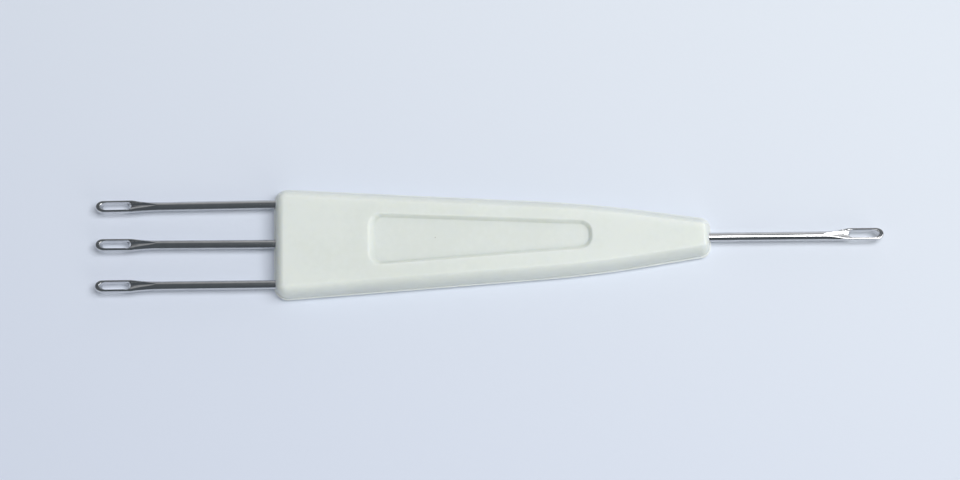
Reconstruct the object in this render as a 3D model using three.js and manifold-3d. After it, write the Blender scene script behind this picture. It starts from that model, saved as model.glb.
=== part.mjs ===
// Knitting machine transfer tool: a moulded handle that holds three eyelet prongs at its wide
// end and one at its narrow end. Millimetres. +X points along the handle to the single prong,
// +Y across it, +Z up from the table. The tool lies on its flat back, and the origin is at the
// bottom centre of its box.

import * as THREE from 'three';
import { mergeVertices } from 'three/addons/utils/BufferGeometryUtils.js';
import Module from 'manifold-3d';

const manifoldLibrary = await Module();
manifoldLibrary.setup();

// Lengths along the tool
const tripleReach = 19.92; // prongs beyond the wide end of the handle
const handleLength = 48.97;
const singleReach = 19.2; // prong beyond the narrow end

// Handle in plan, at its widest plane
const wideHalfWidth = 6.37;
const kneeHalfWidth = 4.1; // where the gentle taper turns into the steep one
const narrowHalfWidth = 2.13;
const kneeFromNarrowEnd = 13.42;
const kneeBlend = 5.95; // length of the knee's curve on each side of the knee
const wideCornerRadius = 1.6;
const narrowCornerRadius = 1.25;

// Handle in section
const handleHeight = 3.5;
const bottomFillet = 0.3;
const ledgeHeight = 0.6; // top of the parting ledge
const ledgeWidth = 0.2;
const footDraft = 0.2; // how far the wall under the ledge leans in, down to the table
const wideSideInset = 1.4; // how far the side leans in, from ledge to top face
const kneeSideInset = 1.17;
const narrowSideInset = 0.94;
const leastCornerRadius = 0.3;

// How much of an ellipse's quarter the side follows, in degrees: 90 runs into the top face
// smoothly, and less leaves a crease at its edge.
const wideSideSweep = 90;
const kneeSideSweep = 64;
const narrowSideSweep = 55;

// Thumb recess in the top face
const recessStart = -13.82; // from the middle of the handle's length
const recessEnd = 11.2;
const recessDepth = 0.5;
const recessWideFarWidth = 3.08; // from the handle's axis towards +Y, at the wide end
const recessNarrowFarWidth = 1.84;
const recessWideNearWidth = 2.96; // and towards -Y
const recessNarrowNearWidth = 1.42;
const recessWideRun = 0.97; // how far each wall slopes in on its way down
const recessNarrowRun = 0.55;
const recessSideRun = 0.52;
const recessWideRadius = 1.4;
const recessNarrowRadius = 1.5;
const recessLeastRadius = 0.35;

// Prongs
const needlePitch = 4.5;
const wireRadius = 0.515;
const prongAxisHeight = 1.3;
const eyeHalfWidth = 0.71;
const eyeHalfThickness = 0.35;
const eyeSquareness = 2.6; // 2 is an ellipse, more is a rounder box
const slotWidth = 0.77;
const tripleSlotLength = 3.62; // measured on the upper face, as the nose wall is
const singleSlotLength = 3.5;
const slotFrontRound = 0.6; // length of the curve at the slot's front end
const slotRearRound = 0.3;
const noseLength = 0.84; // length of the curve round the tip
const noseWall = 0.3; // metal between the slot and the tip
const noseRamp = 0.42; // how far the slot's front wall slopes, from face to face
const neckLength = 3.1; // from the eye's full width back to round wire
const grooveLength = 2.9; // thread groove behind the slot
const grooveWidth = 0.76;
const grooveFloorRise = 0.02; // the groove's floor lies this far above the prong's axis
const rootLength = 12.0;
const anchorInset = 1.4; // from the root's end to the flattened anchor
const anchorLength = 4.0;
const anchorHalfWidth = 0.7;
const anchorHalfThickness = 0.36;
const anchorBlend = 0.9;
const endChamfer = 0.1;
const socketClearance = 0.06;
const socketEndGap = 0.3;

// How the prongs stand as found: leans in degrees, and offsets in millimetres, towards +Y
const farLean = -0.1;
const middleLean = 0.6;
const nearLean = 0.25;
const singleLean = -0.37;
const nearSocketOffset = -0.04;
const singleSocketOffset = -0.055;
const farEyeOffset = 0.06; // of the eye from the wire's axis
const singleEyeOffset = 0.14;

// Fineness of the curved surfaces
const cornerSteps = 9;
const kneeSteps = 10;
const sideSteps = 10;
const recessSteps = 6;
const wireSides = 24;
const curveSteps = 6;
const noseSteps = 8;
const slotEndSteps = 9;

// Where things stand along X
const totalLength = tripleReach + handleLength + singleReach;
const wideEndX = -totalLength / 2 + tripleReach;
const narrowEndX = wideEndX + handleLength;
const kneeX = narrowEndX - kneeFromNarrowEnd;
const handleMiddleX = (wideEndX + narrowEndX) / 2;
const sideHeight = handleHeight - ledgeHeight;

const ivoryPlastic = new THREE.MeshStandardMaterial({ color: 0xdde2da, roughness: 0.42, metalness: 0 });
const platedSteel = new THREE.MeshStandardMaterial({ color: 0xb9bcc0, roughness: 0.22, metalness: 1 });

// A plan outline of straight edges with round corners. Each corner has x, y and its radius, and
// the corners run anticlockwise. A corner's arc touches both of its edges.
function roundedOutline(corners) {
  const points = [];
  corners.forEach((corner, index) => {
    const before = corners[(index + corners.length - 1) % corners.length];
    const after = corners[(index + 1) % corners.length];
    const here = new THREE.Vector2(corner.x, corner.y);
    const inward = here.clone().sub(new THREE.Vector2(before.x, before.y)).normalize();
    const outward = new THREE.Vector2(after.x, after.y).sub(here).normalize();
    const turn = Math.atan2(inward.cross(outward), inward.dot(outward));
    const setback = corner.radius * Math.tan(turn / 2);
    const arcStart = here.clone().addScaledVector(inward, -setback);
    const leftNormal = new THREE.Vector2(-inward.y, inward.x);
    const centre = arcStart.clone().addScaledVector(leftNormal, corner.radius);
    const startAngle = Math.atan2(-leftNormal.y, -leftNormal.x);
    for (let step = 0; step <= corner.steps; step += 1) {
      const angle = startAngle + (turn * step) / corner.steps;
      const x = centre.x + corner.radius * Math.cos(angle);
      const y = centre.y + corner.radius * Math.sin(angle);
      points.push(new THREE.Vector2(x, y));
    }
  });
  return points;
}

// A closed solid through outlines of equal point count, stacked from the bottom up, with a flat
// face at each end.
function stackedSolid(layers) {
  const count = layers[0].outline.length;
  const positions = [];
  const indices = [];
  layers.forEach(({ outline, z }) => {
    outline.forEach((point) => positions.push(point.x, point.y, z));
  });
  for (let layer = 0; layer < layers.length - 1; layer += 1) {
    for (let i = 0; i < count; i += 1) {
      const a = layer * count + i;
      const b = layer * count + ((i + 1) % count);
      indices.push(a, b, b + count, a, b + count, a + count);
    }
  }
  const topStart = (layers.length - 1) * count;
  THREE.ShapeUtils.triangulateShape(layers[0].outline, []).forEach(([a, b, c]) => {
    indices.push(a, c, b);
  });
  THREE.ShapeUtils.triangulateShape(layers[layers.length - 1].outline, []).forEach(([a, b, c]) => {
    indices.push(topStart + a, topStart + b, topStart + c);
  });
  return indexedGeometry(positions, indices);
}

// A closed solid through rings of equal point count along X, closed by a point at each end.
function loftedSolid(stations) {
  const positions = [];
  const indices = [];
  stations.forEach((station) => {
    const offset = station.offset ?? 0;
    for (let i = 0; i < wireSides; i += 1) {
      const angle = (2 * Math.PI * (i + 0.5)) / wireSides;
      const power = 2 / station.squareness;
      const across = Math.sign(Math.cos(angle)) * Math.abs(Math.cos(angle)) ** power;
      const up = Math.sign(Math.sin(angle)) * Math.abs(Math.sin(angle)) ** power;
      positions.push(station.x, offset + station.halfWidth * across, station.halfThickness * up);
    }
  });
  for (let ring = 0; ring < stations.length - 1; ring += 1) {
    for (let i = 0; i < wireSides; i += 1) {
      const a = ring * wireSides + i;
      const b = ring * wireSides + ((i + 1) % wireSides);
      indices.push(a, b, b + wireSides, a, b + wireSides, a + wireSides);
    }
  }
  const startPole = positions.length / 3;
  const endPole = startPole + 1;
  const lastRing = (stations.length - 1) * wireSides;
  [stations[0], stations[stations.length - 1]].forEach(({ poleX, offset = 0 }) => {
    positions.push(poleX, offset, 0);
  });
  for (let i = 0; i < wireSides; i += 1) {
    const next = (i + 1) % wireSides;
    indices.push(startPole, next, i, endPole, lastRing + i, lastRing + next);
  }
  return indexedGeometry(positions, indices);
}

function indexedGeometry(positions, indices) {
  const geometry = new THREE.BufferGeometry();
  geometry.setAttribute('position', new THREE.Float32BufferAttribute(positions, 3));
  geometry.setIndex(indices);
  return geometry;
}

function toSolid(geometry) {
  const bare = geometry.clone();
  bare.deleteAttribute('normal');
  bare.deleteAttribute('uv');
  const merged = mergeVertices(bare, 1e-5);
  return new manifoldLibrary.Manifold(
    new manifoldLibrary.Mesh({
      numProp: 3,
      vertProperties: merged.attributes.position.array,
      triVerts: new Uint32Array(merged.index.array),
    }),
  );
}

function toGeometry(solid) {
  const mesh = solid.getMesh();
  const geometry = indexedGeometry(Array.from(mesh.vertProperties), Array.from(mesh.triVerts));
  geometry.computeVertexNormals();
  return geometry;
}

// Straight blend from a to b that starts and ends level
function ease(a, b, share) {
  return a + (b - a) * (0.5 - 0.5 * Math.cos(Math.PI * share));
}

// How far the handle's side has leaned in at a share of its height: part of an ellipse's
// quarter, upright at the ledge, of which the sweep says how much is used.
function sideLean(share, inset, sweep) {
  const usedHeight = Math.sin(THREE.MathUtils.degToRad(sweep));
  const fullDrop = 1 - Math.sqrt(1 - usedHeight ** 2);
  return (inset * (1 - Math.sqrt(1 - (usedHeight * share) ** 2))) / fullDrop;
}

// The knee's radius is the one whose arc reaches kneeBlend along both edges.
function kneeRadius() {
  const gentle = Math.atan((wideHalfWidth - kneeHalfWidth) / (kneeX - wideEndX));
  const steep = Math.atan((kneeHalfWidth - narrowHalfWidth) / kneeFromNarrowEnd);
  return kneeBlend / Math.tan((steep - gentle) / 2);
}

// The handle's plan, drawn in by its own amount at the wide end, the knee and the narrow end
function handleOutline(wideInset, kneeInset, narrowInset) {
  const wide = {
    x: wideEndX + wideInset,
    y: wideHalfWidth - wideInset,
    radius: Math.max(wideCornerRadius - wideInset, leastCornerRadius),
    steps: cornerSteps,
  };
  const knee = { x: kneeX, y: kneeHalfWidth - kneeInset, radius: kneeRadius(), steps: kneeSteps };
  const narrow = {
    x: narrowEndX - narrowInset,
    y: narrowHalfWidth - narrowInset,
    radius: Math.max(narrowCornerRadius - narrowInset, leastCornerRadius),
    steps: cornerSteps,
  };
  const nearSide = [wide, knee, narrow].map((corner) => ({ ...corner, y: -corner.y }));
  return roundedOutline([...nearSide, narrow, knee, wide]);
}

function handleBody() {
  const layers = [];
  for (let step = 0; step <= curveSteps; step += 1) {
    const angle = (Math.PI / 2) * (step / curveSteps);
    const z = bottomFillet * (1 - Math.cos(angle));
    const inset = bottomFillet * (1 - Math.sin(angle)) + footDraft * (1 - z / ledgeHeight);
    layers.push({ outline: handleOutline(inset, inset, inset), z });
  }
  layers.push({ outline: handleOutline(0, 0, 0), z: ledgeHeight });
  for (let step = 0; step <= sideSteps; step += 1) {
    const share = Math.sin((Math.PI / 2) * (step / sideSteps));
    const outline = handleOutline(
      ledgeWidth + sideLean(share, wideSideInset - ledgeWidth, wideSideSweep),
      ledgeWidth + sideLean(share, kneeSideInset - ledgeWidth, kneeSideSweep),
      ledgeWidth + sideLean(share, narrowSideInset - ledgeWidth, narrowSideSweep),
    );
    layers.push({ outline, z: ledgeHeight + sideHeight * share });
  }
  return toSolid(stackedSolid(layers));
}

// The recess's plan at a share of its depth, from its mouth at 0 to its floor at 1
function recessOutline(share) {
  const sideRun = recessSideRun * share;
  const wide = {
    x: handleMiddleX + recessStart + recessWideRun * share,
    y: recessWideFarWidth - sideRun,
    radius: Math.max(recessWideRadius - recessSideRun * share, recessLeastRadius),
    steps: cornerSteps,
  };
  const narrow = {
    x: handleMiddleX + recessEnd - recessNarrowRun * share,
    y: recessNarrowFarWidth - sideRun,
    radius: Math.max(recessNarrowRadius - recessSideRun * share, recessLeastRadius),
    steps: cornerSteps,
  };
  const nearWide = { ...wide, y: sideRun - recessWideNearWidth };
  const nearNarrow = { ...narrow, y: sideRun - recessNarrowNearWidth };
  return roundedOutline([nearWide, nearNarrow, narrow, wide]);
}

function recessCutter() {
  const layers = [];
  for (let step = recessSteps; step >= 0; step -= 1) {
    const share = step / recessSteps;
    const depth = ease(0, recessDepth, share);
    layers.push({ outline: recessOutline(share), z: handleHeight - depth });
  }
  layers.push({ outline: recessOutline(0), z: handleHeight + recessDepth });
  return toSolid(stackedSolid(layers));
}

// The stations of a wire from its root to a given reach, each a section with its own width and
// thickness. A clearance turns the wire into the socket that holds it.
function rootStations(clearance) {
  const radius = wireRadius + clearance;
  const anchorStart = -rootLength + anchorInset;
  const round = { halfWidth: radius, halfThickness: radius, squareness: 2 };
  const flat = {
    halfWidth: anchorHalfWidth + clearance,
    halfThickness: anchorHalfThickness + clearance,
    squareness: 2,
  };
  const stations = [];
  [round, flat, flat, round].forEach((section, index) => {
    const isNearEnd = index === 1 || index === 3;
    const past = index < 2 ? 0 : anchorLength;
    stations.push({ ...section, x: anchorStart + past + (isNearEnd ? anchorBlend : 0) });
  });
  return stations;
}

function socketCutter() {
  const radius = wireRadius + socketClearance;
  const innerEnd = -rootLength - socketEndGap;
  const outerEnd = wideSideInset + socketEndGap;
  const round = { halfWidth: radius, halfThickness: radius, squareness: 2 };
  return loftedSolid([
    { ...round, x: innerEnd, poleX: innerEnd },
    ...rootStations(socketClearance),
    { ...round, x: outerEnd, poleX: outerEnd },
  ]);
}

// A prong along its own X axis, from its root behind the handle's end to its tip at the reach
function prongBody(reach, slotLength, eyeOffset) {
  const noseStart = reach - noseLength;
  const slotRear = reach - noseWall - slotLength;
  const innerRadius = wireRadius - endChamfer;
  const round = { halfWidth: wireRadius, halfThickness: wireRadius, squareness: 2 };
  const stations = [
    {
      x: -rootLength,
      halfWidth: innerRadius,
      halfThickness: innerRadius,
      squareness: 2,
      poleX: -rootLength,
    },
    { ...round, x: -rootLength + endChamfer },
    ...rootStations(0),
  ];
  for (let step = 0; step <= curveSteps; step += 1) {
    const share = step / curveSteps;
    stations.push({
      x: slotRear - neckLength * (1 - share),
      offset: ease(0, eyeOffset, share ** 2),
      halfWidth: wireRadius + (eyeHalfWidth - wireRadius) * share ** 2,
      halfThickness: ease(wireRadius, eyeHalfThickness, share),
      squareness: ease(2, eyeSquareness, share),
    });
  }
  for (let step = 0; step < noseSteps; step += 1) {
    const angle = (Math.PI / 2) * (step / noseSteps);
    stations.push({
      x: noseStart + noseLength * Math.sin(angle),
      offset: eyeOffset,
      halfWidth: eyeHalfWidth * Math.cos(angle),
      halfThickness: eyeHalfThickness * Math.sqrt(Math.cos(angle)),
      squareness: eyeSquareness,
      poleX: reach,
    });
  }
  return toSolid(loftedSolid(stations));
}

// A slot with round ends that goes right through the eye. Its front wall slopes: it reaches the
// nose wall on the upper face and falls back by the nose ramp on the lower one.
function slotCutter(reach, slotLength, eyeOffset) {
  const halfWidth = slotWidth / 2;
  const front = reach - noseWall - slotFrontRound;
  const rear = reach - noseWall - slotLength + slotRearRound;
  const middle = (front + rear) / 2;
  const rampSlope = noseRamp / (2 * eyeHalfThickness);
  const outline = new THREE.Shape();
  outline.absellipse(front, 0, slotFrontRound, halfWidth, -Math.PI / 2, Math.PI / 2, false);
  outline.absellipse(rear, 0, slotRearRound, halfWidth, Math.PI / 2, (3 * Math.PI) / 2, false);
  const depth = 4 * eyeHalfThickness;
  const slot = new THREE.ExtrudeGeometry(outline, { depth, bevelEnabled: false, curveSegments: slotEndSteps });
  slot.translate(0, eyeOffset, -depth / 2);
  const points = slot.attributes.position;
  for (let i = 0; i < points.count; i += 1) {
    const ramp = points.getX(i) > middle ? rampSlope * (points.getZ(i) - eyeHalfThickness) : 0;
    points.setX(i, points.getX(i) + ramp);
  }
  return toSolid(slot);
}

// The groove behind the slot: a cone that lies along the wire's upper side, widest at the slot
function grooveCutter(reach, slotLength, eyeOffset) {
  const slotRear = reach - noseWall - slotLength;
  const wideRadius = grooveWidth / 2;
  const start = new THREE.Vector3(slotRear + wideRadius, eyeOffset, grooveFloorRise + wideRadius);
  const point = new THREE.Vector3(slotRear - grooveLength, 0, wireRadius);
  const along = point.clone().sub(start);
  const cone = new THREE.ConeGeometry(wideRadius, along.length(), wireSides);
  const turn = new THREE.Quaternion().setFromUnitVectors(
    new THREE.Vector3(0, 1, 0),
    along.clone().normalize(),
  );
  cone.applyQuaternion(turn);
  cone.translate(...start.clone().addScaledVector(along, 0.5).toArray());
  return toSolid(cone);
}

const prongs = [
  { name: 'triple_prong_far', y: needlePitch, lean: farLean, eyeOffset: farEyeOffset, isSingle: false },
  { name: 'triple_prong_middle', y: 0, lean: middleLean, eyeOffset: 0, isSingle: false },
  {
    name: 'triple_prong_near',
    y: -needlePitch + nearSocketOffset,
    lean: nearLean,
    eyeOffset: 0,
    isSingle: false,
  },
  {
    name: 'single_prong',
    y: singleSocketOffset,
    lean: singleLean,
    eyeOffset: singleEyeOffset,
    isSingle: true,
  },
];

// A prong's own X axis starts at the handle's end, points out of it and leans towards +Y.
function placeProng(object, { y, lean, isSingle }) {
  const leanAngle = THREE.MathUtils.degToRad(lean);
  object.position.set(isSingle ? narrowEndX : wideEndX, y, prongAxisHeight);
  object.rotation.z = isSingle ? leanAngle : Math.PI - leanAngle;
  object.updateMatrix();
  return object;
}

function prongMesh(prong) {
  const reach = prong.isSingle ? singleReach : tripleReach;
  const slotLength = prong.isSingle ? singleSlotLength : tripleSlotLength;
  const offset = prong.isSingle ? prong.eyeOffset : -prong.eyeOffset; // a left prong is turned round
  const solid = prongBody(reach, slotLength, offset)
    .subtract(slotCutter(reach, slotLength, offset))
    .subtract(grooveCutter(reach, slotLength, offset));
  const mesh = new THREE.Mesh(toGeometry(solid), platedSteel.clone());
  mesh.name = prong.name;
  return placeProng(mesh, prong);
}

function handleMesh() {
  let solid = handleBody().subtract(recessCutter());
  prongs.forEach((prong) => {
    const socket = socketCutter();
    socket.applyMatrix4(placeProng(new THREE.Object3D(), prong).matrix);
    solid = solid.subtract(toSolid(socket));
  });
  const mesh = new THREE.Mesh(toGeometry(solid), ivoryPlastic);
  mesh.name = 'handle';
  return mesh;
}

const transferTool = new THREE.Group();
transferTool.add(handleMesh());
prongs.forEach((prong) => transferTool.add(prongMesh(prong)));

export default transferTool;
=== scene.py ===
"""A knitting machine transfer tool on pale paper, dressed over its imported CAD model.

A moulded ivory handle lies on its flat back. Three plated eyelet prongs stand out of its wide end
and a single one out of its narrow end. +X points to the single prong, +Y away from the viewer and
+Z up. Sizes in the classes are in millimetres, and the meshes are in metres.
"""

import logging
import math
from dataclasses import dataclass, field
from enum import Enum

import bmesh
import bpy
import numpy as np
from bpy.types import ID, Material, Node, NodeSocket, NodeTree, Object
from mathutils import Matrix, Vector


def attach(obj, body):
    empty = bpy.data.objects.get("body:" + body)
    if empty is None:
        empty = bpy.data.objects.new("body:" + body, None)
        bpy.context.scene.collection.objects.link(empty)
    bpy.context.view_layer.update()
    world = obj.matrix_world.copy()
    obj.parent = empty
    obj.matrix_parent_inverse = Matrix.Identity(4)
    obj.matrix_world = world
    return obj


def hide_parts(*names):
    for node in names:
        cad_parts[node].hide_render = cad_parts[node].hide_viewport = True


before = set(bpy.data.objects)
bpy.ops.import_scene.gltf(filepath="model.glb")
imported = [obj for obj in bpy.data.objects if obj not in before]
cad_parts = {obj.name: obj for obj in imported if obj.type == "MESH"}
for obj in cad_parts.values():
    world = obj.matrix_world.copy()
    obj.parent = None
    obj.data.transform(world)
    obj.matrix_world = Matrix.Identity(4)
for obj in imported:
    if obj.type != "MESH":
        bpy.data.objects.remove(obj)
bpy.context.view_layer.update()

MM = 0.001
IMAGE_WIDTH = 960
SENSOR_WIDTH = 36.0
SAME_POINT = 1e-7  # metres: closer points become one
TINY = 1e-9  # keeps a divisor above zero
MIX_FIRST, MIX_SECOND, MIX_RESULT = 6, 7, 2  # numbers of a Mix node's colour sockets

log = logging.getLogger("transfer_tool")

Pair = tuple[float, float]
Triple = tuple[float, float, float]
Colour = Triple
Array = np.ndarray


class Slot(Enum):
    """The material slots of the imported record."""

    PLASTIC = "handle_plastic"
    STEEL = "prong_steel"


def ease(share: Array) -> Array:
    """Half a cosine wave: 0 and level up to a share of 0, 1 and level from a share of 1."""
    return 0.5 - 0.5 * np.cos(np.pi * np.clip(share, 0.0, 1.0))


def mix(start: Array, end: Array, share: Array) -> Array:
    """Straight mix of two values: start where share is 0 and end where it is 1."""
    return start + (end - start) * share


def rounding(distance: Array, radius: Array) -> Array:
    """Height of a rounded edge, 0 to 1, by the distance inside it: a quarter of an ellipse."""
    reach = np.clip(distance / radius, 0.0, 1.0)
    return np.sqrt(np.maximum(1.0 - (1.0 - reach) ** 2, 0.0))


def capped(share: Array, softness: float) -> Array:
    """The share up to 1, and 1 past it, with a parabola that reaches softness to each side."""
    short = np.clip(1.0 + softness - share, 0.0, 2.0 * softness)
    return np.minimum(share, 1.0 - softness) + softness - short**2 / (4.0 * softness)


def grid_faces(rows: int, columns: int, closed: bool) -> Array:
    """Quads between the rows of a grid of points.

    Args:
        rows: Number of rows of points.
        columns: Number of points in a row.
        closed: True if each row's last point joins its first.

    Returns:
        Four point indices for each quad.
    """
    row_start = np.arange(rows - 1)[:, None] * columns
    place = np.arange(columns if closed else columns - 1)
    here, beside = row_start + place, row_start + (place + 1) % columns
    return np.stack([here, beside, beside + columns, here + columns], axis=-1).reshape(-1, 4)


def ladder_faces(start: int, count: int) -> Array:
    """Quads from the first half of a flat face's outline to its other half, point by point."""
    near = np.arange(count // 2 - 1)
    return start + np.stack([near, near + 1, count - 2 - near, count - 1 - near], axis=-1)


def add_object(name: str, data: ID) -> Object:
    """Adds an object of the given name and data to the scene."""
    added = bpy.data.objects.new(name, data)
    bpy.context.scene.collection.objects.link(added)
    return added


def aimed(back: Vector, place: Vector, roll: float = 0.0) -> Matrix:
    """Where a light or a camera stands and how it is turned.

    Args:
        back: The direction of length 1 that it has its back to.
        place: Where it stands, in millimetres.
        roll: How far it turns about that direction, in radians.

    Returns:
        Its matrix in the scene.
    """
    right = Vector((0.0, 1.0, 0.0)).cross(back).normalized()
    axes = Matrix((right, back.cross(right), back)).transposed().to_4x4()
    return Matrix.Translation(place * MM) @ axes @ Matrix.Rotation(roll, 4, "Z")


def piece_from_surface(name: str, points: Array, faces: Array) -> Object:
    """Makes a closed piece of a surface's points and quads.

    Points that coincide become one, and a quad that shrinks to a triangle there is made one.

    Args:
        name: The piece's name.
        points: Points in millimetres, three numbers each.
        faces: Four point indices for each quad.

    Returns:
        The piece, smooth shaded, at the origin, with its faces pointing outwards.
    """
    metres = points.reshape(-1, 3) * MM
    keys = np.round(metres / SAME_POINT).astype(np.int64)
    _, first, merged = np.unique(keys, axis=0, return_index=True, return_inverse=True)
    quads = merged.reshape(-1)[faces]
    same_as_next = quads == np.roll(quads, -1, axis=1)
    shrunk = same_as_next.sum(axis=1)
    whole = quads[shrunk == 0]
    triangles = [
        np.delete(quads[(shrunk == 1) & same_as_next[:, corner]], corner, axis=1)
        for corner in range(4)
    ]
    mesh = bpy.data.meshes.new(name)
    mesh.from_pydata(metres[first].tolist(), [], whole.tolist() + np.vstack(triangles).tolist())
    shell = bmesh.new()
    shell.from_mesh(mesh)
    bmesh.ops.recalc_face_normals(shell, faces=shell.faces)
    shell.to_mesh(mesh)
    shell.free()
    mesh.shade_smooth()
    return add_object(name, mesh)


def report(piece: Object) -> None:
    """Logs a piece's name, its size in millimetres and how many faces it has."""
    size = [round(side / MM, 2) for side in piece.dimensions]
    log.info("%s: %s mm, %d faces", piece.name, size, len(piece.data.polygons))


class Value:
    """One socket of a node tree, on which Python's operators add Math nodes."""

    def __init__(self, tree: "Tree", socket: NodeSocket) -> None:
        """Wraps a socket of the given tree."""
        self.tree = tree
        self.socket = socket

    def __add__(self, other: "Value | float") -> "Value":
        """Sum."""
        return self.tree.math("ADD", self, other)

    __radd__ = __add__

    def __sub__(self, other: "Value | float") -> "Value":
        """Difference."""
        return self.tree.math("SUBTRACT", self, other)

    def __rsub__(self, other: float) -> "Value":
        """Difference from a number."""
        return self.tree.math("SUBTRACT", other, self)

    def __mul__(self, other: "Value | float") -> "Value":
        """Product."""
        return self.tree.math("MULTIPLY", self, other)

    __rmul__ = __mul__


class Tree:
    """A node tree under construction."""

    def __init__(self, node_tree: NodeTree) -> None:
        """Empties the given node tree and builds in it."""
        self.node_tree = node_tree
        node_tree.nodes.clear()

    def node(
        self,
        kind: str,
        settings: dict[str, object] | None = None,
        inputs: dict[str | int, object] | None = None,
    ) -> Node:
        """Adds a node.

        Args:
            kind: The node's type, without the ShaderNode at its front.
            settings: The node's own properties, which are set first.
            inputs: Numbers, colours or links of its sockets, by the socket's name or number.

        Returns:
            The node.
        """
        node = self.node_tree.nodes.new("ShaderNode" + kind)
        for name, setting in (settings or {}).items():
            setattr(node, name, setting)
        for key, given in (inputs or {}).items():
            socket = node.inputs[key]
            if isinstance(given, Value):
                self.node_tree.links.new(given.socket, socket)
            else:
                socket.default_value = (*given, 1.0) if socket.type == "RGBA" else given
        return node

    def output(self, node: Node, key: str | int = 0) -> Value:
        """An output of a node, by its number or name."""
        return Value(self, node.outputs[key])

    def math(self, operation: str, first: Value | float, second: Value | float) -> Value:
        """A Math node on two values, either of which may be a plain number."""
        inputs = {0: first, 1: second}
        return self.output(self.node("Math", {"operation": operation}, inputs))

    def place(self) -> Value:
        """Object coordinates, in metres."""
        return self.output(self.node("TexCoord"), "Object")

    def vector(
        self, operation: str, place: Value, other: Triple = (0.0, 0.0, 0.0), key: str = "Vector"
    ) -> Value:
        """A Vector Math node on a linked vector and a given one, and the output that is named."""
        inputs = {0: place, 1: other}
        return self.output(self.node("VectorMath", {"operation": operation}, inputs), key)

    def noise(self, place: Value, grain: float, detail: float = 3.0) -> Value:
        """Cloudy noise about 0.5, with blotches of a size in millimetres and finer layers."""
        inputs = {"Vector": place, "Scale": 1.0 / (grain * MM), "Detail": detail}
        return self.output(self.node("TexNoise", {"noise_dimensions": "3D"}, inputs), "Fac")

    def ramp(self, value: Value, low: float, high: float) -> Value:
        """Smooth step from 0 at low to 1 at high."""
        inputs = {"Value": value, "From Min": low, "From Max": high}
        return self.output(self.node("MapRange", {"interpolation_type": "SMOOTHSTEP"}, inputs))

    def colour(
        self, share: Value | float, start: Value | Colour, end: Value | Colour, blend: str = "MIX"
    ) -> Value:
        """A colour from one to another by a share from 0 to 1, or one with the other added."""
        inputs = {0: share, MIX_FIRST: start, MIX_SECOND: end}
        node = self.node("Mix", {"data_type": "RGBA", "blend_type": blend}, inputs)
        return self.output(node, MIX_RESULT)

    def bump(self, height: Value, depth: float, strength: float) -> Value:
        """A normal from a height, of which 1 is a depth in millimetres, at some strength."""
        inputs = {"Height": height, "Distance": depth * MM, "Strength": strength}
        return self.output(self.node("Bump", None, inputs))


def new_material(name: str) -> tuple[Material, Tree]:
    """An empty node material of the given name, and its tree."""
    material = bpy.data.materials.new(name)
    material.use_nodes = True
    return material, Tree(material.node_tree)


def shade(tree: Tree, inputs: dict[str | int, object]) -> None:
    """Ends a tree with a Principled shader that has the given inputs."""
    shader = tree.node("BsdfPrincipled", None, inputs)
    tree.node("OutputMaterial", None, {"Surface": tree.output(shader)})


@dataclass(frozen=True)
class PlasticFinish:
    """Ivory satin plastic as it comes out of a polished mould."""

    pale: Colour = (0.74, 0.775, 0.745)
    deep: Colour = (0.71, 0.745, 0.71)
    tones: Pair = (0.36, 0.64)  # levels of the noise at which it is deep, and pale
    cloud_grain: float = 9.0
    cloud_share: float = 0.65
    mottle_grain: float = 0.7
    mottle_share: float = 0.35
    soft_detail: float = 2.0  # finer layers of the clouds, and of the skin
    skin_grain: float = 0.16
    skin_depth: float = 0.02
    skin_strength: float = 0.35
    speck: Colour = (0.42, 0.42, 0.38)
    speck_centre: Triple = (-0.00595, 0.0002, 0.003)  # in metres, as its rim is
    speck_rim: Pair = (0.0000425, 0.000085)  # where it starts to fade, and where it ends
    speck_share: float = 0.8
    roughness: float = 0.5
    roughness_spread: float = 0.10
    refraction: float = 1.5
    specular: float = 0.3
    let_in: float = 0.9  # share of the light that enters the plastic
    let_in_radii: Triple = (1.0, 0.95, 0.8)  # of its red, green and blue, as shares of the depth
    let_in_depth: float = 1.3

    def material(self) -> Material:
        """Builds the material.

        Returns:
            Colour: slow clouds with a fine mottle and a speck of dust. Roughness: the mottle.
            Bump: the mould's fine skin.
        """
        material, tree = new_material("ivory_plastic")
        place = tree.place()
        clouds = tree.noise(place, self.cloud_grain, self.soft_detail)
        mottle = tree.noise(place, self.mottle_grain)
        tone = tree.ramp(self.cloud_share * clouds + self.mottle_share * mottle, *self.tones)
        colour = tree.colour(tone, self.deep, self.pale)
        distance = tree.vector("DISTANCE", place, self.speck_centre, "Value")
        spot = 1.0 - tree.ramp(distance, *self.speck_rim)
        colour = tree.colour(self.speck_share * spot, colour, self.speck)
        skin = tree.noise(place, self.skin_grain, self.soft_detail)
        roughness = self.roughness + self.roughness_spread * (mottle - 0.5)
        inputs = {
            "Base Color": colour,
            "Roughness": roughness,
            "IOR": self.refraction,
            "Specular IOR Level": self.specular,
            "Subsurface Weight": self.let_in,
            "Subsurface Radius": self.let_in_radii,
            "Subsurface Scale": self.let_in_depth * MM,
            "Normal": tree.bump(skin, self.skin_depth, self.skin_strength),
        }
        shade(tree, inputs)
        return material


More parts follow.
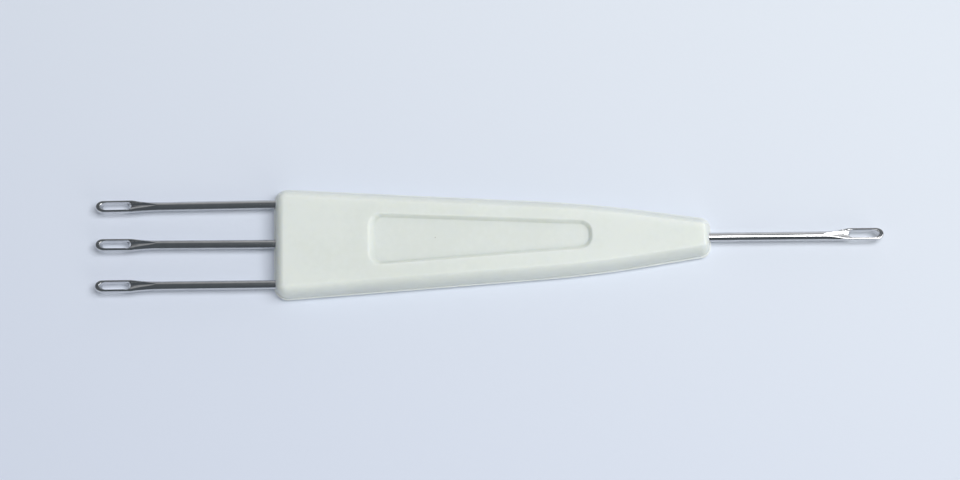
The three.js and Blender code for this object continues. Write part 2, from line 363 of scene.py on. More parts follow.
@dataclass(frozen=True)
class SteelFinish:
    """Drawn steel wire with a bright nickel plate and faint lines along its length."""

    bright: Colour = (0.66, 0.665, 0.675)
    dull: Colour = (0.56, 0.565, 0.58)
    tones: Pair = (0.35, 0.68)  # levels of the dullness at which it is bright, and dull
    roughness: float = 0.12
    roughness_spread: float = 0.14
    cloud_grain: float = 1.6
    cloud_share: float = 0.6
    line_grain: float = 0.05
    line_share: float = 0.4
    line_scale: Triple = (0.012, 1.0, 1.0)  # stretches the lines along the wire
    line_depth: float = 0.004
    line_strength: float = 0.4

    def material(self) -> Material:
        """Builds the material.

        Returns:
            Colour: slow clouds in the plate. Roughness: clouds and drawn lines. Bump: the lines.
        """
        material, tree = new_material("nickel_plated_steel")
        place = tree.place()
        clouds = tree.noise(place, self.cloud_grain)
        lines = tree.noise(tree.vector("MULTIPLY", place, self.line_scale), self.line_grain)
        dullness = self.cloud_share * clouds + self.line_share * lines
        inputs = {
            "Base Color": tree.colour(tree.ramp(dullness, *self.tones), self.bright, self.dull),
            "Metallic": 1.0,
            "Roughness": self.roughness + self.roughness_spread * (dullness - 0.5),
            "Normal": tree.bump(lines, self.line_depth, self.line_strength),
        }
        shade(tree, inputs)
        return material


@dataclass(frozen=True)
class PaperFinish:
    """Smooth bluish paper, with a faint fibre and painted light: its colour is darker on the side
    away from the lamp and lighter towards it.
    """

    # painted light: the two tones are the paper's colour darkened away from the lamp and lightened
    # towards it
    shadow_side: Colour = (0.67, 0.72, 0.835)
    light_side: Colour = (0.73, 0.775, 0.845)
    towards_light: Triple = (0.5, 1.0, 0.0)
    fade: Pair = (-0.06, 0.06)  # metres that way at which the change starts, and ends
    fibre_shift: float = 0.002  # metres by which the fibre moves it
    fibre_grain: float = 0.35
    fibre_detail: float = 4.0
    fibre_depth: float = 0.015
    fibre_strength: float = 0.3
    roughness: float = 0.75
    specular: float = 0.25

    def material(self) -> Material:
        """Builds the material.

        Returns:
            Colour: painted light falloff, from the shaded tone to the lit tone across the sheet.
                Bump: the fibre.
        """
        material, tree = new_material("pale_paper")
        place = tree.place()
        fibre = tree.noise(place, self.fibre_grain, self.fibre_detail)
        across = tree.vector("DOT_PRODUCT", place, self.towards_light, "Value")
        tone = tree.ramp(across + self.fibre_shift * (fibre - 0.5), *self.fade)
        inputs = {
            "Base Color": tree.colour(tone, self.shadow_side, self.light_side),
            "Roughness": self.roughness,
            "Specular IOR Level": self.specular,
            "Normal": tree.bump(fibre, self.fibre_depth, self.fibre_strength),
        }
        shade(tree, inputs)
        return material


@dataclass(frozen=True)
class CornerSteps:
    """How finely a plan outline is divided: its corners' arcs and the edges between them."""

    wide_corner: int = 14
    gentle_edge: int = 34
    knee: int = 12
    steep_edge: int = 14
    narrow_corner: int = 14
    ends: tuple[int, int] = (5, 21)  # at the narrow and the wide end


def rounded_rings(
    near: Array, far: Array, radii: Array, arcs: list[int], sides: list[int], ends: tuple[int, int]
) -> Array:
    """Outlines of straight edges and round corners, one ring for each level of a surface.

    A corner's arc touches both of its edges: its centre is the corner moved back along the edge
    before it by radius times tan(half the turn), and then to the left by the radius.

    Args:
        near: The near side's corners from the wide end on, by level by channel. The first two
            channels are x and y. Any other is held on the arcs and mixed evenly along the edges.
        far: The far side's corners from the narrow end back.
        radii: The near side's radii by level, which are also those of the corners opposite.
        arcs: Steps of the near side's arcs.
        sides: Steps of the near side's edges.
        ends: Steps of the edges at the narrow and the wide end.

    Returns:
        Levels by ring points by channels. A ring starts just past the wide end's middle.
    """
    places = np.concatenate([near, far])
    radii = np.concatenate([radii, radii[::-1]])
    arc_steps = arcs + arcs[::-1]
    edge_steps = [*sides, ends[0], *sides[::-1], ends[1]]
    plan = places[..., :2]
    ahead = np.roll(plan, -1, axis=0) - plan
    outward = ahead / np.linalg.norm(ahead, axis=-1, keepdims=True)
    inward = np.roll(outward, 1, axis=0)
    cross = inward[..., 0] * outward[..., 1] - inward[..., 1] * outward[..., 0]
    turn = np.arctan2(cross, (inward * outward).sum(axis=-1))
    left = np.stack([-inward[..., 1], inward[..., 0]], axis=-1)
    start = plan - inward * (radii * np.tan(turn / 2))[..., None]
    centre = start + left * radii[..., None]
    first_angle = np.arctan2(-left[..., 1], -left[..., 0])
    bows = []
    for corner, steps in enumerate(arc_steps):
        share = np.linspace(0.0, 1.0, steps + 1)
        angle = first_angle[corner][:, None] + turn[corner][:, None] * share
        circle = np.stack([np.cos(angle), np.sin(angle)], axis=-1)
        round_part = centre[corner][:, None] + radii[corner][:, None, None] * circle
        held = np.repeat(places[corner][:, None, 2:], steps + 1, axis=1)
        bows.append(np.concatenate([round_part, held], axis=-1))
    parts = []
    for corner, steps in enumerate(edge_steps):
        after = bows[(corner + 1) % len(bows)]
        share = (np.arange(1, steps) / steps)[None, :, None]
        parts += [bows[corner], mix(bows[corner][:, -1:], after[:, :1], share)]
    return np.roll(np.concatenate(parts, axis=1), (edge_steps[-1] - 1) // 2, axis=1)


@dataclass
class Handle:
    """The moulded handle: flat back, low ledge, leaning sides and a thumb recess."""

    finish: PlasticFinish = PlasticFinish()
    steps: CornerSteps = CornerSteps()

    wide_end: float = -24.125
    narrow_end: float = 24.845
    knee: float = 11.425
    knee_radius: float = 145.0
    half_widths: Triple = (6.37, 4.1, 2.13)  # at the wide end, knee and narrow end
    corner_radii: Pair = (1.6, 1.25)
    least_radius: float = 0.3

    height: float = 3.5
    bottom_fillet: float = 0.3
    fillet_steps: int = 7
    ledge_height: float = 0.6
    ledge_width: float = 0.2
    foot_draft: float = 0.2
    ledge_edge: float = 0.03
    ledge_foot: float = 0.08
    side_insets: Triple = (1.4, 1.17, 0.94)
    side_sweeps: Triple = (90.0, 64.0, 55.0)  # degrees of an ellipse's quarter
    crease_radii: Triple = (0.3, 0.26, 0.24)
    side_steps: int = 26
    crease_steps: int = 9
    face_shares: tuple[float, ...] = (0.004, 0.02, 0.2, 0.5, 0.8, 0.98, 0.996)  # to the recess

    recess_start: float = -13.46
    recess_end: float = 11.56
    recess_far_widths: Pair = (3.08, 1.84)  # from the axis towards +Y
    recess_near_widths: Pair = (2.96, 1.42)  # and towards -Y
    recess_runs: Triple = (0.97, 0.55, 0.52)  # of its wall at the wide end, narrow end and sides
    recess_radii: Pair = (1.4, 1.5)
    recess_least_radius: float = 0.35
    recess_depth: float = 0.5
    recess_bends: Pair = (0.18, 0.80)  # shares of a run, at its wall's top and foot
    recess_rounding: float = 0.18  # share of a run to each side of a bend
    bend_steps: int = 9

    socket_gap: float = 0.012
    guard: float = 0.04  # a flat face's outermost ring lies this far inside its edge
    sharp_angle: float = 40.0  # degrees: a sharper edge isn't shaded smooth

    def lean(self, share: Array, inset: Array, sweep: Array) -> Array:
        """How far a side has leaned in at a share of its height, along an ellipse's sweep."""
        rise = np.sqrt(np.maximum(1.0 - (share * np.sin(sweep)) ** 2, 0.0))
        return inset * (1.0 - rise) / (1.0 - np.cos(sweep))

    def side_profile(self, place: Array) -> tuple[Array, Array]:
        """The side's inset and height from the ledge to past the crease.

        The lean's curve ends a little under the top face, and from there a parabola that touches
        both rounds the crease.

        Args:
            place: Where the profile stands: 0 at the wide corner, 1 at the knee and 2 at the
                narrow corner.

        Returns:
            Insets and heights, levels by places.
        """
        knots = (0.0, 1.0, 2.0)
        lean = np.interp(place, knots, self.side_insets) - self.ledge_width
        sweep = np.radians(np.interp(place, knots, self.side_sweeps))
        radius = np.interp(place, knots, self.crease_radii)
        rise = self.height - self.ledge_height
        crease = np.arctan2(rise * np.cos(sweep), lean * (1.0 + np.cos(sweep)))
        drop = radius * np.tan(crease / 2) * np.sin(crease)
        nudge = 1e-4
        last = np.minimum(1.0 - drop / rise, 1.0 - nudge)
        foot = self.ledge_foot / rise
        quarter = np.sin(np.linspace(0.0, math.pi / 2, self.side_steps))[:, None]
        share = foot + (last - foot) * quarter
        insets = self.ledge_width + self.lean(share, lean, sweep)
        heights = self.ledge_height + rise * share
        before = self.lean(last - nudge, lean, sweep)
        slope = (self.lean(last, lean, sweep) - before) / (nudge * rise)
        left_over = self.height - heights[-1:]
        meeting = insets[-1:] + slope * left_over
        end = meeting + np.hypot(slope * left_over, left_over)
        t = np.linspace(0.0, 1.0, self.crease_steps + 1)[1:, None]
        crease_insets = (1 - t) ** 2 * insets[-1:] + 2 * t * (1 - t) * meeting + t**2 * end
        crease_heights = (1 - t) ** 2 * heights[-1:] + (1 - (1 - t) ** 2) * self.height
        return np.vstack([insets, crease_insets]), np.vstack([heights, crease_heights])

    def low_profile(self) -> tuple[Array, Array]:
        """The side's profile from the flat back round its fillet and over the ledge.

        Returns:
            Insets and heights.
        """
        turn = np.linspace(0.0, math.pi / 2, self.fillet_steps)
        edge, foot = self.ledge_edge, self.ledge_foot
        fillet_heights = self.bottom_fillet * (1 - np.cos(turn))
        draft = self.foot_draft * (1 - fillet_heights / self.ledge_height)
        insets = [
            [self.bottom_fillet + self.foot_draft + self.guard],
            self.bottom_fillet * (1 - np.sin(turn)) + draft,
            edge * (1 - np.cos(turn)),
            self.ledge_width - foot + foot * np.sin(turn[:-1]),
        ]
        heights = [
            [0.0],
            fillet_heights,
            self.ledge_height - edge + edge * np.sin(turn),
            self.ledge_height + foot - foot * np.cos(turn[:-1]),
        ]
        return np.concatenate(insets), np.concatenate(heights)

    def outer_rings(self) -> Array:
        """Rings from the flat back's edge up the sides to the top face.

        Returns:
            Levels by points by x, y and z.
        """
        corners = np.array([0.0, 1.0, 2.0])
        low, side = self.low_profile(), self.side_profile(corners)
        insets, heights = (
            np.vstack([np.repeat(below[:, None], 3, axis=1), above]).T
            for below, above in zip(low, side)
        )
        inwards = np.array([1.0, 0.0, -1.0])[:, None]
        ends = np.array([self.wide_end, self.knee, self.narrow_end])[:, None] + inwards * insets
        half = np.array(self.half_widths)[:, None] - insets
        spot = np.repeat(corners[:, None], insets.shape[1], axis=1)
        near = np.stack([ends, -half, heights, insets, spot], axis=-1)
        far = near[::-1] * np.array([1.0, -1.0, 1.0, 1.0, 1.0])
        wide, narrow = self.corner_radii
        radii = np.maximum(np.array([wide, 0.0, narrow])[:, None] - insets, self.least_radius)
        radii[1] = self.knee_radius
        steps = self.steps
        arcs = [steps.wide_corner, steps.knee, steps.narrow_corner]
        sides = [steps.gentle_edge, steps.steep_edge]
        rings = rounded_rings(near, far, radii, arcs, sides, steps.ends)
        return self.swept(rings, len(low[0]))

    def swept(self, rings: Array, first: int) -> Array:
        """Gives each place along the side its own sweep, and not a mix of its corners' curves.

        Args:
            rings: Levels by points by five channels: x, y, z, inset and place.
            first: The side's first level.

        Returns:
            The rings, levels by points by x, y and z.
        """
        insets, heights = self.side_profile(rings[first, :, 4])
        side = rings[first:]
        side[..., 1] -= np.sign(side[..., 1]) * (insets - side[..., 3])
        side[..., 2] = heights
        return rings[..., :3]

    def recess_rings(self) -> Array:
        """Rings from the recess's mouth down its wall to its floor.

        The wall is a straight slope with a parabola at each end, level at the mouth and the floor.

        Returns:
            Levels by points by x, y and z.
        """
        mouth, floor = self.recess_bends
        reach = self.recess_rounding
        t = np.linspace(0.0, 1.0, self.bend_steps)
        slope = 1.0 / (floor - mouth)
        across = reach * (2 * t - 1)
        run = np.concatenate([mouth + across, floor + across, [floor + reach + self.guard]])
        depth = np.concatenate([slope * reach * t**2, 1.0 - slope * reach * (1 - t) ** 2, [1.0]])
        wide_run, narrow_run, side_run = self.recess_runs
        ends = np.stack([self.recess_start + wide_run * run, self.recess_end - narrow_run * run])
        far_sides, near_sides, radii = (
            np.array(sizes)[:, None] - side_run * run
            for sizes in (self.recess_far_widths, self.recess_near_widths, self.recess_radii)
        )
        heights = np.broadcast_to(self.height - self.recess_depth * depth, ends.shape)
        near = np.stack([ends, -near_sides, heights], axis=-1)
        far = np.stack([ends, far_sides, heights], axis=-1)[::-1]
        radii = np.maximum(radii, self.recess_least_radius)
        steps = self.steps
        arcs = [steps.wide_corner, steps.narrow_corner]
        side = steps.gentle_edge + steps.knee + steps.steep_edge
        return rounded_rings(near, far, radii, arcs, [side], steps.ends)

    def surface(self) -> tuple[Array, Array]:
        """The whole handle without its sockets.

        Returns:
            Points and quads.
        """
        outer = self.outer_rings()
        recess = self.recess_rings()
        face = mix(outer[-1:], recess[:1], np.array(self.face_shares)[:, None, None])
        rings = np.concatenate([outer, face, recess])
        levels, count, _ = rings.shape
        walls = grid_faces(levels, count, closed=True)
        back = ladder_faces(0, count)
        floor = ladder_faces((levels - 1) * count, count)
        return rings, np.vstack([walls, back, floor])

    def build(self, prongs: tuple["Prong", ...]) -> None:
        """Builds the dressed handle with its sockets.

        Args:
            prongs: The prongs that it holds.
        """
        handle = piece_from_surface("handle_moulding", *self.surface())
        cutters = [prong.socket(self.socket_gap) for prong in prongs]
        for cutter in cutters:
            modifier = handle.modifiers.new(cutter.name, "BOOLEAN")
            modifier.operation = "DIFFERENCE"
            modifier.solver = "EXACT"
            modifier.object = cutter
        graph = bpy.context.evaluated_depsgraph_get()
        cut = bpy.data.meshes.new_from_object(handle.evaluated_get(graph))
        handle.modifiers.clear()
        handle.data = cut
        for cutter in cutters:
            bpy.data.objects.remove(cutter)
        cut.shade_smooth()
        cut.set_sharp_from_angle(angle=math.radians(self.sharp_angle))
        cut.materials.append(self.finish.material())
        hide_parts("handle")
        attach(handle, "root")
        report(handle)


@dataclass(frozen=True)
class ProngSteps:
    """How many cross-sections each part of a prong has, and where some of them stand."""

    rounding: int = 15
    anchor_end: int = 9  # at each of its two ends
    shank: int = 12
    neck: int = 110
    rear_ramp: int = 24
    slot: int = 24
    nose_ramp: int = 26
    nose: int = 30
    shank_start: float = -3.0
    neck_gap: float = 0.1
    slot_gap: float = 0.02
    nose_share: float = 0.6  # of the nose, up to which the ramp's sections go on
    nose_angle: float = 0.64  # radians round the nose, where its own sections start
    round_points: int = 49  # round a socket's cutter
    decimals: int = 6  # of a cross-section's place


@dataclass
class Prong:
    """One eyelet prong: a wire with a slotted eye at its tip and an anchor on its hidden root.

    Its own X axis runs from the handle's end to the tip. Its surface is an upper and a lower
    sheet on each side of its middle line, which meet along its widest line, its slot's edge and
    its middle line. The eye then turns about the axis and steps aside.
    """

    node: str
    across: float  # where it leaves the handle, towards +Y
    lean: float  # degrees towards +Y
    reach: float = 19.92
    slot_length: float = 3.73
    eye_offset: float = 0.0  # of the eye from the wire's axis, towards +Y
    to_right: bool = False

    end: float = -24.125
    axis_height: float = 1.3
    wire_radius: float = 0.515
    eye_half_width: float = 0.71
    eye_half_height: float = 0.35
    eye_dome: float = 0.08  # share of the height that its face falls towards its edge
    eye_turn: float = 10.0  # degrees that the eye's face turns towards +Y
    slot_half_width: float = 0.385
    slot_front_round: float = 0.6
    slot_rear_round: float = 0.3
    slot_wall: float = 0.06
    wall_softness: float = 0.1  # of the corner at the wall's top
    lower_slope: float = 3.0  # how many times as steep the wall is on the lower side
    lower_softness: float = 0.35
    rear_ramp: float = 0.36
    nose_length: float = 0.84
    slot_inset: float = 0.3
    nose_wall: float = 0.48
    nose_ramp: float = 0.26
    ramp_foot: float = 0.85  # how far below the middle a ramp ends, as a share of the height
    neck_length: float = 3.1
    rim_rounding: float = 0.11
    groove_length: float = 2.9
    groove_floor: float = 0.09
    groove_offset: float = 0.07  # of its bottom line, towards the tool's far side
    groove_slope: float = 0.4
    groove_tilt: float = 0.13  # more slope of its near wall, and less of its far wall
    groove_bottom: float = 0.03
    groove_bank: float = 2.5  # slope of its outermost part
    root_length: float = 12.0
    anchor_start: float = -10.6
    anchor_length: float = 4.0
    anchor_blend: float = 0.9
    anchor_half_width: float = 0.7
    anchor_half_height: float = 0.36
    end_rounding: float = 0.12
    socket_reach: float = 2.0  # most that its socket's cutter stands out of the handle
    sharp_angle: float = 50.0
    steps: ProngSteps = ProngSteps()
    columns: int = 34

    @property
    def slot_rear(self) -> float:
        """Where the slot starts, at the top of its rear ramp."""
        return self.reach - self.slot_inset - self.slot_length

    @property
    def hole_rear(self) -> float:
        """Where the slot's hole starts, at the foot of its rear ramp."""
        return self.slot_rear + self.rear_ramp

    @property
    def hole_front(self) -> float:
        """Where the slot's hole ends, at the foot of the ramp at the nose."""
        return self.reach - self.nose_wall - self.nose_ramp

    def stations(self) -> Array:
        """Where the surface's cross-sections stand.

        Returns:
            Places along the prong, closer together where the plan turns.
        """
        steps = self.steps
        leaving = 1.0 - np.cos(np.linspace(0.0, math.pi / 2, steps.rounding))
        rear, front = self.hole_rear, self.hole_front
        nose = self.reach - self.nose_length
        neck = self.slot_rear - self.neck_length
        anchor = self.anchor_start + self.anchor_blend
        anchor_end = self.anchor_start + self.anchor_length
        spans = (
            (self.anchor_start, anchor, steps.anchor_end),
            (anchor_end, anchor_end + self.anchor_blend, steps.anchor_end),
            (steps.shank_start, neck - 2 * steps.neck_gap, steps.shank),
            (neck - steps.neck_gap, self.slot_rear - steps.slot_gap, steps.neck),
            (self.slot_rear, rear, steps.rear_ramp),
            (rear + self.slot_rear_round, front - self.slot_front_round, steps.slot),
            (front, nose + steps.nose_share * self.nose_length, steps.nose_ramp),
        )
        angles = np.linspace(steps.nose_angle, math.pi / 2, steps.nose)
        rounds = [
            -self.root_length + self.end_rounding * leaving,
            rear + self.slot_rear_round * leaving,
            front - self.slot_front_round * leaving,
            nose + self.nose_length * np.sin(angles),
        ]
        places = np.concatenate([np.linspace(*span) for span in spans] + rounds)
        return np.unique(np.round(places, steps.decimals))

    def neck_share(self, x: Array) -> Array:
        """How far along the neck x is: 0 on the wire and 1 on the eye."""
        return np.clip((x - self.slot_rear + self.neck_length) / self.neck_length, 0.0, 1.0)

    def half_width(self, x: Array) -> Array:
        """Half the width of the prong's plan: wire, anchor, flaring neck, eye and a round nose."""
        half = mix(self.wire_radius, self.eye_half_width, self.neck_share(x) ** 2)
        half = half + (self.anchor_half_width - self.wire_radius) * self.anchor_share(x)
        return half * rounding(self.reach - x, self.nose_length) * self.end_share(x)

    def half_height(self, x: Array) -> Array:
        """Half the height of the prong along its middle, before the slot and the groove."""
        half = mix(self.wire_radius, self.eye_half_height, ease(self.neck_share(x)))
        half = half + (self.anchor_half_height - self.wire_radius) * self.anchor_share(x)
        return half * self.end_share(x)

    def anchor_share(self, x: Array) -> Array:
        """How much of the anchor's flattening there is at x: eased in and out again."""
        blend = self.anchor_blend
        leave = self.anchor_start + self.anchor_length
        return ease((x - self.anchor_start) / blend) - ease((x - leave) / blend)

    def end_share(self, x: Array) -> Array:
        """How much the root's rounded end narrows the section: an ellipse's quarter, then 1."""
        return rounding(x + self.root_length, self.end_rounding)

    def slot_at(self, x: Array) -> Array:
        """Half the width of the slot's hole: straight sides between two halves of ellipses."""
        rear = rounding(x - self.hole_rear, self.slot_rear_round)
        front = rounding(self.hole_front - x, self.slot_front_round)
        return self.slot_half_width * np.minimum(rear, front)

    def outer_distance(self, x: Array, y: Array) -> Array:
        """How far inside the plan's outline a place is.

        Beside the nose it is half the width less |y|. In the nose it is (1 - e) times the
        ellipse's own size in the place's direction, where e is 1 on the ellipse.

        Args:
            x: Places along the prong.
            y: Places across it.

        Returns:
            The distances, which are negative outside.
        """
        nose = np.clip(x - self.reach + self.nose_length, 0.0, None) / self.nose_length
        side = np.abs(y) / self.eye_half_width
        ellipse = np.hypot(nose, side)
        forward = (nose / np.maximum(ellipse, TINY)) ** 2
        size = mix(self.eye_half_width, self.nose_length, forward)
        return np.where(nose > 0.0, (1.0 - ellipse) * size, self.half_width(x) - np.abs(y))

    def slot_edge(self, x: Array, y: Array) -> tuple[Array, Array]:
        """Where a place lies on the wall round the slot's hole.

        Args:
            x: Places along the prong.
            y: Places across it.

        Returns:
            The share of the wall's width from the hole's edge outwards, 1 at its top and more
            beyond, and how much the place belongs to the ramps at the slot's ends.
        """
        rear_centre = self.hole_rear + self.slot_rear_round
        front_centre = self.hole_front - self.slot_front_round
        behind = np.maximum(rear_centre - x, 0.0) / self.slot_rear_round
        ahead = np.maximum(x - front_centre, 0.0) / self.slot_front_round
        side = np.abs(y) / self.slot_half_width
        size = np.maximum(np.hypot(behind + ahead, side), TINY)
        rearward, forward = (behind / size) ** 2, (ahead / size) ** 2
        wall = self.slot_wall / self.slot_half_width * (1.0 - rearward - forward)
        wall = wall + self.rear_ramp / self.slot_rear_round * rearward
        wall = wall + self.nose_ramp / self.slot_front_round * forward
        return np.maximum(size - 1.0, 0.0) / wall, rearward + forward

    def heights(self, x: Array, y: Array) -> tuple[Array, Array]:
        """Heights of the upper and the lower sheet.

        The eye's face falls a little towards its edge and is rounded there. From the slot's
        edge both sheets rise away from the height at which they meet, which drops to the feet
        of the ramps at its ends. The groove lowers the upper sheet to its trough.

        Args:
            x: Places along the prong.
            y: Places across it.

        Returns:
            The upper and the lower heights.
        """
        eye = ease(self.neck_share(x))
        half = self.half_height(x)
        reach = mix(np.maximum(self.half_width(x), TINY), self.rim_rounding, eye)
        dome = 1.0 - self.eye_dome * eye * (y / self.eye_half_width) ** 2
        outer = half * dome * rounding(np.maximum(self.outer_distance(x, y), 0.0), reach)
        wall, ramp = self.slot_edge(x, y)
        meeting = -self.ramp_foot * half * ramp
        rise = capped(wall, self.wall_softness)
        upper = meeting + (np.minimum(outer, self.trough(x, y)) - meeting) * rise
        fall = capped(self.lower_slope * wall, self.lower_softness)
        lower = meeting - (outer + meeting) * fall
        return upper, lower

    def trough(self, x: Array, y: Array) -> Array:
        """The groove behind the slot: a valley whose floor sinks towards the slot.

        Its wall on the tool's near side is steeper than the one on its far side, and both rise
        steeply where they are as far out as the slot's edge.

        Args:
            x: Places along the prong.
            y: Places across it.

        Returns:
            The groove's heights, which are endless where there is no groove.
        """
        share = (x - self.slot_rear + self.groove_length) / self.groove_length
        floor = mix(self.wire_radius, self.groove_floor, np.minimum(share, 1.0))
        nearer = self.groove_offset + (-y if self.to_right else y)
        valley = np.hypot(nearer, self.groove_bottom) - self.groove_bottom
        past_slot = x > self.hole_rear + self.slot_rear_round
        walls = self.groove_slope * valley + self.groove_tilt * nearer
        walls = walls + self.groove_bank * np.maximum(np.abs(y) - self.slot_half_width, 0.0)
        return np.where(past_slot, np.inf, floor + walls)

    def surface(self) -> tuple[Array, Array]:
        """The prong in its own frame.

        Returns:
            Points and quads.
        """
        x = self.stations()[:, None]
        slot = self.slot_at(x)
        across = (1.0 - np.cos(np.linspace(0.0, math.pi, self.columns)))[None, :] / 2
        y = mix(slot, np.maximum(self.half_width(x), slot), across)
        along = np.broadcast_to(x, y.shape)
        sheets = [
            np.stack([along, side * y, height], axis=-1)
            for side in (1.0, -1.0)
            for height in self.heights(x, side * y)
        ]
        rows, columns = y.shape
        faces = grid_faces(rows, columns, closed=False)
        size = rows * columns
        return np.stack(sheets), np.vstack([faces + index * size for index in range(len(sheets))])

    def turned(self, points: Array) -> Array:
        """Turns the eye about the wire's axis and moves it aside, easing in along the prong.

        Args:
            points: Points in the prong's own frame.

        Returns:
            The points, with an angle that grows along the shank and an offset late in the neck.
        """
        x, y, z = points[..., 0], points[..., 1], points[..., 2]
        side = 1.0 if self.to_right else -1.0
        angle = side * math.radians(self.eye_turn) * ease(x / (self.slot_rear - self.neck_length))
        offset = side * self.eye_offset * ease(self.neck_share(x) ** 2)
        turned_y = y * np.cos(angle) + z * np.sin(angle) + offset
        return np.stack([x, turned_y, z * np.cos(angle) - y * np.sin(angle)], axis=-1)

    def placed(self, points: Array) -> Array:
        """Turns points from the prong's own frame into the tool's, in millimetres."""
        lean = math.radians(self.lean)
        turn = np.array(Matrix.Rotation(lean if self.to_right else math.pi - lean, 3, "Z"))
        return points @ turn.T + np.array([self.end, self.across, self.axis_height])

    def socket(self, gap: float) -> Object:
        """A solid of the prong's root, which cuts its socket.

        Args:
            gap: How much larger it is than the root, all round.

        Returns:
            The solid.
        """
        stations = self.stations()
        x = stations[stations < self.socket_reach][:, None]
        angle = np.linspace(0.0, 2 * math.pi, self.steps.round_points)[None, :]
        y = (self.half_width(x) + gap) * np.cos(angle)
        z = (self.half_height(x) + gap) * np.sin(angle)
        along = np.broadcast_to(x - gap * (x == x[0]), y.shape)
        tube = np.stack([along, y, z], axis=-1)
        ends = tube[[0, -1]] * np.array([1.0, 0.0, 0.0])
        rings = np.concatenate([ends[:1], tube, ends[1:]])
        faces = grid_faces(len(rings), rings.shape[1], closed=False)
        return piece_from_surface(self.node + "_socket", self.placed(rings), faces)

    def build(self, steel: Material) -> None:
        """Builds the dressed prong.

        Args:
            steel: Its material.
        """
        sheets, faces = self.surface()
        prong = piece_from_surface(self.node + "_wire", self.placed(self.turned(sheets)), faces)
        prong.data.set_sharp_from_angle(angle=math.radians(self.sharp_angle))
        prong.data.materials.append(steel)
        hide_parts(self.node)
        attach(prong, "root")
        report(prong)


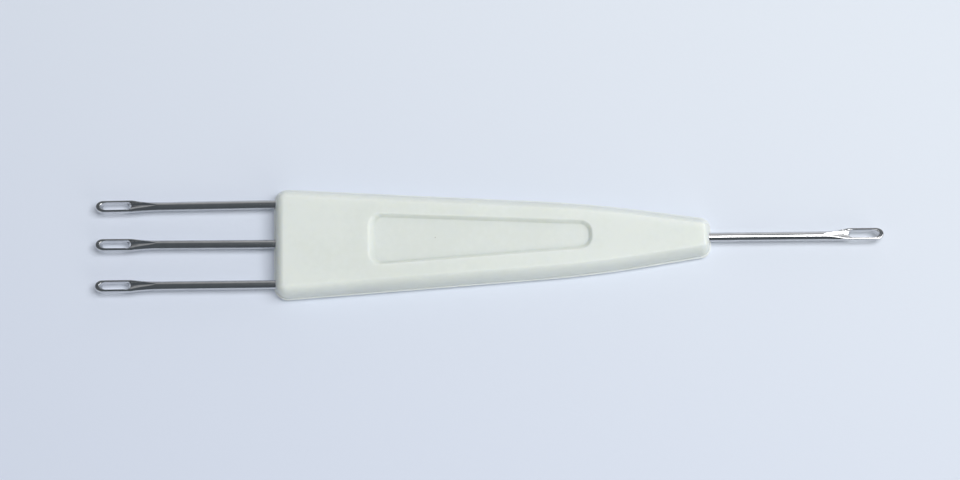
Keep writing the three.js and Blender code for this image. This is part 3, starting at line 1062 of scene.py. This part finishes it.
@dataclass
class Studio:
    """Paper under the tool, a soft light above its right side, and a dim room round it."""

    paper: PaperFinish = PaperFinish()
    paper_half_size: float = 3000.0
    paper_points: int = 13  # along each of its sides
    key_direction: Triple = (0.33, 0.1, 1.0)
    key_distance: float = 500.0
    key_size: Pair = (370.0, 240.0)
    key_power: float = 2.16
    dim: Colour = (0.093, 0.106, 0.118)

    far_glow: Colour = (0.82, 0.82, 0.82)
    glow_rise: Pair = (0.4, 1.0)  # from none to all, by how far away a direction points
    glow_right: Pair = (-0.4, 0.3)  # by how far to the right
    near_corners: Colour = (1.4, 1.4, 1.3)
    corner_rise: Pair = (0.25, 0.6)  # by how far towards the viewer
    corner_aside: Pair = (0.06, 0.25)  # by how far to a side, squared
    corner_right: Pair = (-0.1, 0.1)
    left_share: float = 0.35  # of the glow and the corners, on the left
    right_wall: Colour = (0.7, 0.7, 0.7)
    left_wall: Colour = (0.4, 0.4, 0.4)
    wall_top: Pair = (0.1, 0.35)  # from all to none of a wall, by how far up
    wall_rise: Pair = (0.2, 0.9)  # by how squarely it points at the wall

    def build(self) -> None:
        """Builds the paper, the light and the room's own light."""
        half, count = self.paper_half_size, self.paper_points
        sides = np.linspace(-half, half, count)
        x, y = np.meshgrid(sides, sides)
        points = np.stack([x, y, np.zeros_like(x)], axis=-1).reshape(-1, 3) * MM
        faces = grid_faces(count, count, closed=False)
        mesh = bpy.data.meshes.new("paper")
        mesh.from_pydata(points.tolist(), [], faces.tolist())
        paper = add_object("paper", mesh)
        mesh.materials.append(self.paper.material())
        self.key_light()
        self.room()

    def key_light(self) -> None:
        """A large soft panel that faces the tool."""
        data = bpy.data.lights.new("window_light", "AREA")
        data.shape = "RECTANGLE"
        data.size, data.size_y = (side * MM for side in self.key_size)
        data.energy = self.key_power
        light = add_object("window_light", data)
        direction = Vector(self.key_direction).normalized()
        light.matrix_world = aimed(direction, direction * self.key_distance)
        light.visible_camera = False

    def room(self) -> None:
        """A dim ceiling, a glow beyond the tool, two lit near corners and two low side walls."""
        world = bpy.data.worlds.new("room")
        world.use_nodes = True
        bpy.context.scene.world = world
        tree = Tree(world.node_tree)
        direction = tree.output(tree.node("TexCoord"), "Generated")
        split = tree.node("SeparateXYZ", None, {0: direction})
        right, away, up = (tree.output(split, axis) for axis in "XYZ")
        more = 1.0 - self.left_share
        glow = tree.ramp(away, *self.glow_rise)
        glow = glow * (self.left_share + more * tree.ramp(right, *self.glow_right))
        corners = tree.ramp(0.0 - away, *self.corner_rise)
        corners = corners * tree.ramp(right * right, *self.corner_aside)
        corners = corners * (self.left_share + more * tree.ramp(right, *self.corner_right))
        low = 1.0 - tree.ramp(up, *self.wall_top)
        level = tree.vector("NORMALIZE", tree.vector("MULTIPLY", direction, (1.0, 1.0, 0.0)))
        square = tree.vector("DOT_PRODUCT", level, (1.0, 0.0, 0.0), "Value")
        parts = (
            (corners, self.near_corners),
            (low * tree.ramp(square, *self.wall_rise), self.right_wall),
            (low * tree.ramp(0.0 - square, *self.wall_rise), self.left_wall),
        )
        light = tree.colour(glow, self.dim, self.far_glow)
        for share, colour in parts:
            light = tree.colour(1.0, light, tree.colour(share, (0.0, 0.0, 0.0), colour), "ADD")
        background = tree.node("Background", None, {"Color": light, "Strength": 1.0})
        tree.node("OutputWorld", None, {"Surface": tree.output(background)})


@dataclass
class Viewpoint:
    """The photograph's camera, which looks nearly straight down."""

    target: Triple = (-1.0088, 0.2705, 0.0)
    tilt: float = 8.51
    yaw: float = 0.452
    roll: float = -0.915
    distance: float = 235.5
    focal_pixels: float = 2095.3
    clip_start: float = 5.0

    def build(self) -> None:
        """Makes the camera and gives it to the scene."""
        tilt, yaw, roll = (math.radians(angle) for angle in (self.tilt, self.yaw, self.roll))
        back = Vector(
            (math.sin(yaw) * math.cos(tilt), -math.sin(tilt), math.cos(tilt) * math.cos(yaw))
        ).normalized()
        data = bpy.data.cameras.new("camera")
        data.sensor_width = SENSOR_WIDTH
        data.lens = self.focal_pixels / IMAGE_WIDTH * SENSOR_WIDTH
        data.clip_start = self.clip_start * MM
        camera = add_object("camera", data)
        camera.matrix_world = aimed(back, Vector(self.target) + back * self.distance, roll)
        bpy.context.scene.camera = camera


@dataclass
class TransferTool:
    """The whole tool: one handle and four prongs."""

    handle: Handle = field(default_factory=Handle)
    steel: SteelFinish = SteelFinish()
    prongs: tuple[Prong, ...] = (
        Prong("triple_prong_far", 4.5, -0.1, eye_offset=0.06),
        Prong("triple_prong_middle", 0.0, 0.6),
        Prong("triple_prong_near", -4.54, 0.25),
        Prong(
            "single_prong", -0.055, -0.37, reach=19.2, slot_length=3.64, eye_offset=0.14,
            to_right=True, end=24.845, neck_length=2.7, rear_ramp=0.2,
        ),
    )

    def build(self) -> None:
        """Builds every piece of the tool."""
        self.handle.build(self.prongs)
        steel = self.steel.material()
        for prong in self.prongs:
            prong.build(steel)


def main() -> None:
    """Builds the camera, the studio and the tool."""
    logging.basicConfig(level=logging.INFO, format="%(name)s: %(message)s")
    bpy.context.scene.view_settings.view_transform = "Standard"
    Viewpoint().build()
    Studio().build()
    TransferTool().build()


if __name__ == "__main__":
    main()
